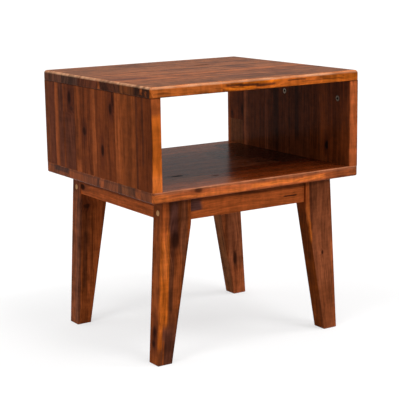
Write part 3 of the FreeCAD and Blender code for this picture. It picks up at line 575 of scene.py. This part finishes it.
# The grain of the legs leans outwards with them, by so many degrees. Painted shade darkens the
# tops of the front legs and of the front and left aprons, under the box.
legLean = 3.34
leanLeft = (0, 90 - legLean, 0)
leanRight = (0, 90 + legLean, 0)
legLooks = {
    "front_left_leg": {
        "tone": "russet", "pith": (65, 60), "seed": 41, "grain": leanLeft,
        "streaks": 0.2, "contrast": 1.1,
        "knots": (knot((-162, -169, 226), (17, 8, 9), dark=0.75),
                  knot((-204, -154, 59), (15, 9, 8), swell=2),
                  knot((-205, -152, 39), (10, 8, 8), dark=0.85, swell=2)),
        "tints": (tint("ginger", (-195, -154, 130), (everywhere, 14, 5), 2),
                  tint("rust", (-188, -154, 255), (30, 14, 3), 4, 0.7),
                  tint("orange", (-185, -169, 158), (78, 3, 6.5), 5),
                  tint("honey", (-183, -169, 200), (30, 3, 3), 6, 0.8),
                  tint("copper", (-181, -169, 268), (30, 3, 3), 6, 0.8),
                  tint("copper", (-131, -169, 262), (36, 3, 3), 4, 0.9),
                  tint("walnut", (-163, -169, 268), (22, 3, 4), 8, 0.8),
                  tint("rose", (-143, -169, 245), (44, 3, 4), 5, 0.8),
                  tint("bark", (-171, -169, 160), (50, 3, 3), 5, 0.4),
                  tint("rust", (-159, -169, 150), (44, 3, 5), 6, 0.8),
                  tint("walnut", (-182, -169, 26), (26, 3, 10), 8, 0.4),
                  tint("ebony", (-182, -169, 42), (6, 3, 4), 5, 0.35),
                  tint("orange", (-197, -169, 52), (14, 3, 1.5), 4, 0.8),
                  tint("rust", (-192, -169, 22), (20, 3, 0.8), 2),
                  # Painted shade at the top of the leg, under the box.
                  tint("umber", (-165, -169, 302), (9, everywhere, everywhere), 2, 0.6))},
    "front_right_leg": {
        "tone": "cinnamon", "innerTone": "bronze", "pith": (-65, -60), "seed": 42,
        "grain": leanRight, "streaks": 0.1, "contrast": 0.9,
        "knots": (knot((167, -169, 155), (4, 5, 2.2), dark=0.8),),
        "tints": (tint("copper", (131.5, -169, 270), (30, 3, 3), 3),
                  tint("honey", (134, -169, 232), (16, 3, 2.5), 3, 0.9),
                  tint("orange", (140, -169, 198), (14, 3, 1.5), 3, 0.8),
                  tint("maroon", (140, -169, 250), (45, 3, 0.8), 3, 0.8),
                  tint("russet", (178, -169, 45), (30, 3, 10), 8, 0.8),
                  tint("copper", (197, -169, 85), (85, 3, 4), 3, 0.4),
                  # Painted shade at the top of the leg, under the box.
                  tint("umber", (155, -169, 302), (9, everywhere, everywhere), 2, 0.6))},
    "rear_left_leg": {
        "tone": "rust", "pith": (65, -60), "seed": 43, "grain": leanLeft,
        "streaks": 0.5, "contrast": 1.2,
        "knots": (knot((-173, 138, 237), (5, 6, 9), dark=0.7),),
        "tints": (tint("cinnamon", (-196, 153, 150), (everywhere, 40, 4), 3),
                  tint("cocoa", (-196, 142, 130), (120, 5, 4), 3, 0.7),
                  tint("umber", (-178, 138, 205), (40, 3, 7), 6, 0.5),
                  tint("umber", (-182, 138, 130), (50, 3, 2), 4, 0.7),
                  tint("rust", (-161, 138, 205), (26, 3, 1.5), 3, 0.8),
                  tint("amber", (-175, 138, 95), (40, 3, 1.5), 3, 0.6))},
    "rear_right_leg": {
        "tone": "rose", "innerTone": "tan", "pith": (-65, 60), "seed": 44,
        "grain": leanRight, "streaks": 0.25,
        "knots": (knot((176, 138, 79), (18, 6, 4.5), dark=0.8),),
        "tints": (tint("rust", (152, 138, 130), (40, 3, 3), 5, 0.6),
                  tint("amber", (185, 138, 20), (30, 3, 12), 6, 0.5))},
}
apronLooks = {
    "front_apron": {
        "tone": "copper", "pith": (60, 65), "seed": 51, "grain": grainAlongX,
        "streaks": 0.1, "contrast": 0.8,
        "tints": (tint("walnut", (-116, -163.5, 282), (9, 3, 10), 2.5),
                  tint("umber", (95, -163.5, 273.5), (12, 3, 0.5), 1.5),
                  # Painted shade along the top of the apron, under the box.
                  tint("umber", (0, -163.5, 299), (everywhere, everywhere, 9.5), 6, 0.75))},
    "rear_apron": {"tone": "rust", "pith": (-60, 65), "seed": 52, "grain": grainAlongX},
    "left_apron": {
        "tone": "copper", "pith": (60, -65), "seed": 53, "grain": grainAlongY,
        "streaks": 0.1, "contrast": 0.8,
        "knots": (knot((-185.5, 130, 277), (10, 12, 6), dark=0.9),),
        # Painted shade along the top of the apron, under the box.
        "tints": (tint("umber", (-185.5, 0, 299), (everywhere, everywhere, 13.5), 4, 0.75),)},
    "right_apron": {"tone": "amber", "pith": (-60, 65), "seed": 54, "grain": grainAlongY},
}
# For each board: the names of its staves, their looks, what they share, and the tints that run
# across all of them.
boards = (
    ("top_stave_%d", topStaves,
     {"grain": grainAlongX, "edge": 0.43, "contrast": 1.5, "roughness": 0.36, "gloss": 0.028}, ()),
    ("bottom_stave_%d", bottomStaves,
     {"grain": grainAlongX, "edge": 0.25, "endHighlight": 0.1, "roughness": 0.24, "gloss": 0.042},
     (tint("umber", (-225, 0, 318.5), (3, everywhere, 1.2), 2, 0.4),
      tint("umber", (225, 0, 318.5), (3, everywhere, 1.2), 2, 0.4))),
    ("left_side_stave_%d", leftStaves, {"grain": grainAlongZ, "endLine": 0.6}, ()),
    ("right_side_stave_%d", rightStaves,
     {"grain": grainAlongZ, "endLine": 0.6, "gloss": 0.018}, ()),
)
for pattern, staves, shared, sharedTints in boards:
    for number, look in staves.items():
        staveName = pattern % number
        inBoard = {"seams": (number > 1, number < len(staves)),
                   "tints": look.get("tints", ()) + sharedTints}
        dress(staveName, makeAcacia(staveName, {**shared, **look, **inBoard}))
for pieces in (legLooks, apronLooks):
    for pieceName, look in pieces.items():
        dress(pieceName, makeAcacia(pieceName, look))
print("acacia pieces dressed")

# Plugs: face-grain pegs of a paler wood under the same lacquer.
plugLook = {"tone": "sap", "grain": grainAlongZ, "pith": (2, 30), "streaks": 0, "roughness": 0.4}
plugSeeds = {"front_left": 61, "front_right": 62, "rear_left": 63, "rear_right": 64}
for corner, seed in plugSeeds.items():
    plugName = corner + "_plug"
    dress(plugName, makeAcacia(plugName, {**plugLook, "seed": seed}))


def makeMetal(name, look, middle=None):
    # Small fittings of cast or plated metal: dull, slightly uneven, a little darker in places.
    material, tree = newMaterial(name)
    place = addNode(tree, "TexCoord")
    cloud = addNode(tree, "TexNoise", {"Vector": place.outputs["Object"],
                                       "Scale": look["cloudsPerMetre"], "Detail": 3})
    colour = addNode(tree, "ValToRGB", {"Fac": cloud})
    stops = colour.color_ramp.elements
    stops[0].position, stops[0].color = 0.3, linearColour(look["dark"])
    stops[1].position, stops[1].color = 0.7, linearColour(look["light"])
    if middle:
        # Painted shade: the socket in the middle and the outer rim round the lock are painted
        # dark.
        fromMiddle = addNode(tree, "Mapping", {"Vector": place.outputs["Object"],
                                               "Scale": (0, perMetre, perMetre),
                                               "Location": (0, -middle.y, -middle.z)})
        distance = addNode(tree, "VectorMath", {0: fromMiddle}, operation="LENGTH")
        socketFrom, socketTo = look["socketEdge"]
        paintedShade = addNode(tree, "MapRange", {"Value": distance, "From Min": socketFrom,
                                            "From Max": socketTo, "To Min": 1, "To Max": 0},
                         interpolation_type="SMOOTHSTEP")
        rimFrom, rimTo = look["rimEdge"]
        rimShade = addNode(tree, "MapRange", {"Value": distance, "From Min": rimFrom,
                                         "From Max": rimTo, "To Min": 0,
                                         "To Max": look["rimShadeStrength"]},
                      interpolation_type="SMOOTHSTEP")
        paintedShade = addNode(tree, "Math", {0: paintedShade, 1: rimShade}, operation="ADD")
        socketColour = linearColour(look["socket"])
        colour = addNode(tree, "Mix", {0: paintedShade, 6: colour, 7: socketColour}, data_type="RGBA")
    roughness = addNode(tree, "MapRange", {"Value": cloud, "To Min": look["smooth"],
                                           "To Max": look["rough"]})
    bump = addNode(tree, "Bump", {"Strength": 0.2, "Distance": 0.0001, "Height": cloud})
    shader = addNode(tree, "BsdfPrincipled", {"Base Color": colour, "Metallic": 1,
                                              "Roughness": roughness, "Normal": bump})
    finishMaterial(tree, shader)
    return material


# Zinc die casting: grey-brown, matt and faintly mottled from the mould.
zincLook = {
    "dark": "#6A5C4E",
    "light": "#9C8876",
    "cloudsPerMetre": 500,
    "smooth": 0.45,
    "rough": 0.65,
    # Painted shade in the socket and round the rim.
    "socket": "#140E0A",
    "socketEdge": (2.2, 3),     # millimetres from the middle
    "rimEdge": (4.6, 5.6),
    "rimShadeStrength": 0.8,
}
# Zinc-plated steel: brighter, with a thin bluish sheen.
steelLook = {
    "dark": "#8E9092",
    "light": "#BCBDBE",
    "cloudsPerMetre": 300,
    "smooth": 0.25,
    "rough": 0.42,
}
steel = makeMetal("zinc_plated_steel", steelLook)
for side in ("left", "right"):
    for spotName in ("front", "middle", "rear"):
        lockName = "%s_%s_cam_lock" % (side, spotName)
        lockLow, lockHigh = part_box(lockName)
        middle = (lockLow + lockHigh) / 2 * perMetre
        dress(lockName, makeMetal("die_cast_zinc_" + lockName, zincLook, middle))
        dress("%s_%s_cam_bolt" % (side, spotName), steel)
for screws in ("bottom_panel_screws", "base_screws", "leg_screws"):
    dress(screws, steel)


def makeBeech():
    # Turned beech, bare: pale, even, with short fine flecks.
    look = {"dark": "#B8905E", "light": "#DDBB8A", "fleckLength": 6, "fleckWidth": 0.6}
    material, tree = newMaterial("bare_beech")
    place = addNode(tree, "TexCoord")
    across, along = perMetre / look["fleckWidth"], perMetre / look["fleckLength"]
    grain = addNode(tree, "Mapping", {"Vector": place.outputs["Object"],
                                      "Scale": (across, across, along)})
    fleck = addNode(tree, "TexNoise", {"Vector": grain, "Scale": 1, "Detail": 2})
    colour = addNode(tree, "ValToRGB", {"Fac": fleck})
    stops = colour.color_ramp.elements
    stops[0].position, stops[0].color = 0.35, linearColour(look["dark"])
    stops[1].position, stops[1].color = 0.6, linearColour(look["light"])
    shader = addNode(tree, "BsdfPrincipled", {"Base Color": colour, "Roughness": 0.65})
    finishMaterial(tree, shader)
    return material


beech = makeBeech()
for dowels in ("top_dowels", "bottom_dowels", "apron_dowels"):
    dress(dowels, beech)
print("plugs, fittings and dowels dressed")


# The studio: a pale floor, five soft lamps round it, and an even room that is a little brighter
# on the front left. Horizon and ceiling are heights in the room, from 0 at eye level to 1
# overhead.
studio = {
    "floorSize": 60,
    "floorColour": "#A8A8A8",
    "floorGlow": 0.6,
    "roomLow": 0.55,
    "roomHigh": 0.6,
    "roomSides": (0.68, 0.92),
    "brightSide": (-0.5, -0.87, 0),
    "horizonTo": 0.1,
    "ceilingFrom": 0.3,
    "ceilingTo": 0.85,
    "lampDistance": 3,
}

# Each lamp's strength, how wide it looks, and where it stands, round the part from the front
# and up from the floor. All angles are in degrees.
lamps = {
    "front_lamp": {"strength": 1, "width": 18, "azimuth": 19, "elevation": 60},
    "right_lamp": {"strength": 0.75, "width": 20, "azimuth": 66, "elevation": 56},
    "left_lamp": {"strength": 0.8, "width": 20, "azimuth": -72, "elevation": 54},
    "rear_lamp": {"strength": 0.3, "width": 25, "azimuth": -127, "elevation": 54},
    "back_lamp": {"strength": 0.35, "width": 60, "azimuth": 170, "elevation": 55},
}


def seenRays(tree, rays):
    # One on the rays that are seen, straight or in a reflection, and zero on those that light.
    seen = addNode(tree, "Math", {0: rays.outputs["Is Camera Ray"],
                                  1: rays.outputs["Is Glossy Ray"]}, operation="MAXIMUM")
    return addNode(tree, "Math", {0: seen, 1: rays.outputs["Is Transmission Ray"]},
                   operation="MAXIMUM")


def makeFloor():
    # Matt pale paper; the camera and the reflections see it lifted to white, with the shadows.
    bpy.ops.object.select_all(action="DESELECT")
    bpy.ops.mesh.primitive_plane_add(size=studio["floorSize"], location=(0, 0, 0))
    floor = bpy.context.object
    floor.name = "studio_floor"
    material, tree = newMaterial("pale_paper_floor")
    paper = addNode(tree, "BsdfDiffuse", {"Color": linearColour(studio["floorColour"])})
    rays = addNode(tree, "LightPath")
    seen = seenRays(tree, rays)
    strength = addNode(tree, "Math", {0: seen, 1: studio["floorGlow"]}, operation="MULTIPLY")
    glow = addNode(tree, "Emission", {"Strength": strength})
    both = addNode(tree, "AddShader", {0: paper, 1: glow})
    finishMaterial(tree, both)
    floor.data.materials.append(material)


def makeRoom():
    # White for the camera, white at the horizon for the reflections, and an even soft grey
    # elsewhere.
    world = bpy.data.worlds.new("studio_room")
    bpy.context.scene.world = world
    world.use_nodes = True
    tree = world.node_tree
    tree.nodes.clear()
    rays = addNode(tree, "LightPath")
    seen = seenRays(tree, rays)
    direction = addNode(tree, "TexCoord")
    height = addNode(tree, "SeparateXYZ", {0: direction.outputs["Generated"]})
    horizon = addNode(tree, "MapRange", {"Value": height.outputs[2], "From Min": 0,
                                         "From Max": studio["horizonTo"], "To Min": 1,
                                         "To Max": 0}, interpolation_type="SMOOTHSTEP")
    mix = addNode(tree, "Math", {0: seen, 1: horizon}, operation="MULTIPLY")
    mix = addNode(tree, "Math", {0: mix, 1: rays.outputs["Is Camera Ray"]}, operation="MAXIMUM")
    ceiling = addNode(tree, "MapRange", {"Value": height.outputs[2],
                                         "From Min": studio["ceilingFrom"],
                                         "From Max": studio["ceilingTo"],
                                         "To Min": studio["roomLow"],
                                         "To Max": studio["roomHigh"]},
                      interpolation_type="SMOOTHSTEP")
    facing = addNode(tree, "VectorMath", {0: direction.outputs["Generated"],
                                          1: studio["brightSide"]}, operation="DOT_PRODUCT")
    dimSide, litSide = studio["roomSides"]
    sides = addNode(tree, "MapRange", {"Value": facing, "From Min": -1, "From Max": 1,
                                       "To Min": dimSide, "To Max": litSide})
    room = addNode(tree, "Math", {0: ceiling, 1: sides}, operation="MULTIPLY")
    strength = addNode(tree, "Mix", {0: mix, 2: room, 3: 1}, data_type="FLOAT")
    light = addNode(tree, "Background", {"Color": (1, 1, 1, 1), "Strength": strength})
    addNode(tree, "OutputWorld", {"Surface": light})


def makeLamp(name, look):
    lamp = bpy.data.lights.new(name, "SUN")
    lamp.energy = look["strength"]
    lamp.angle = math.radians(look["width"])
    holder = bpy.data.objects.new(name, lamp)
    bpy.context.scene.collection.objects.link(holder)
    azimuth = math.radians(look["azimuth"])
    elevation = math.radians(look["elevation"])
    source = Vector((math.sin(azimuth) * math.cos(elevation),
                     -math.cos(azimuth) * math.cos(elevation), math.sin(elevation)))
    holder.rotation_euler = source.to_track_quat("Z", "Y").to_euler()
    holder.location = source * studio["lampDistance"]


# The camera, at the photograph's viewing angle.
cameraLook = {
    "place": (-1.26014, -1.94924, 0.72461),
    "yaw": 32.89,
    "down": 11.571,
    "roll": -0.898,
    "lens": 110.23,
    "sensor": 36,
}


def makeCamera():
    camera = bpy.data.cameras.new("camera")
    camera.sensor_width = cameraLook["sensor"]
    camera.lens = cameraLook["lens"]
    holder = bpy.data.objects.new("camera", camera)
    bpy.context.scene.collection.objects.link(holder)
    turn = Matrix.Rotation(math.radians(-cameraLook["yaw"]), 4, "Z")
    tilt = Matrix.Rotation(math.radians(90 - cameraLook["down"]), 4, "X")
    roll = Matrix.Rotation(math.radians(cameraLook["roll"]), 4, "Z")
    holder.matrix_world = Matrix.Translation(cameraLook["place"]) @ turn @ tilt @ roll
    bpy.context.scene.camera = holder


makeFloor()
makeRoom()
for lampName, lampLook in lamps.items():
    makeLamp(lampName, lampLook)
makeCamera()
bpy.context.scene.view_settings.view_transform = "Standard"
print("studio ready")
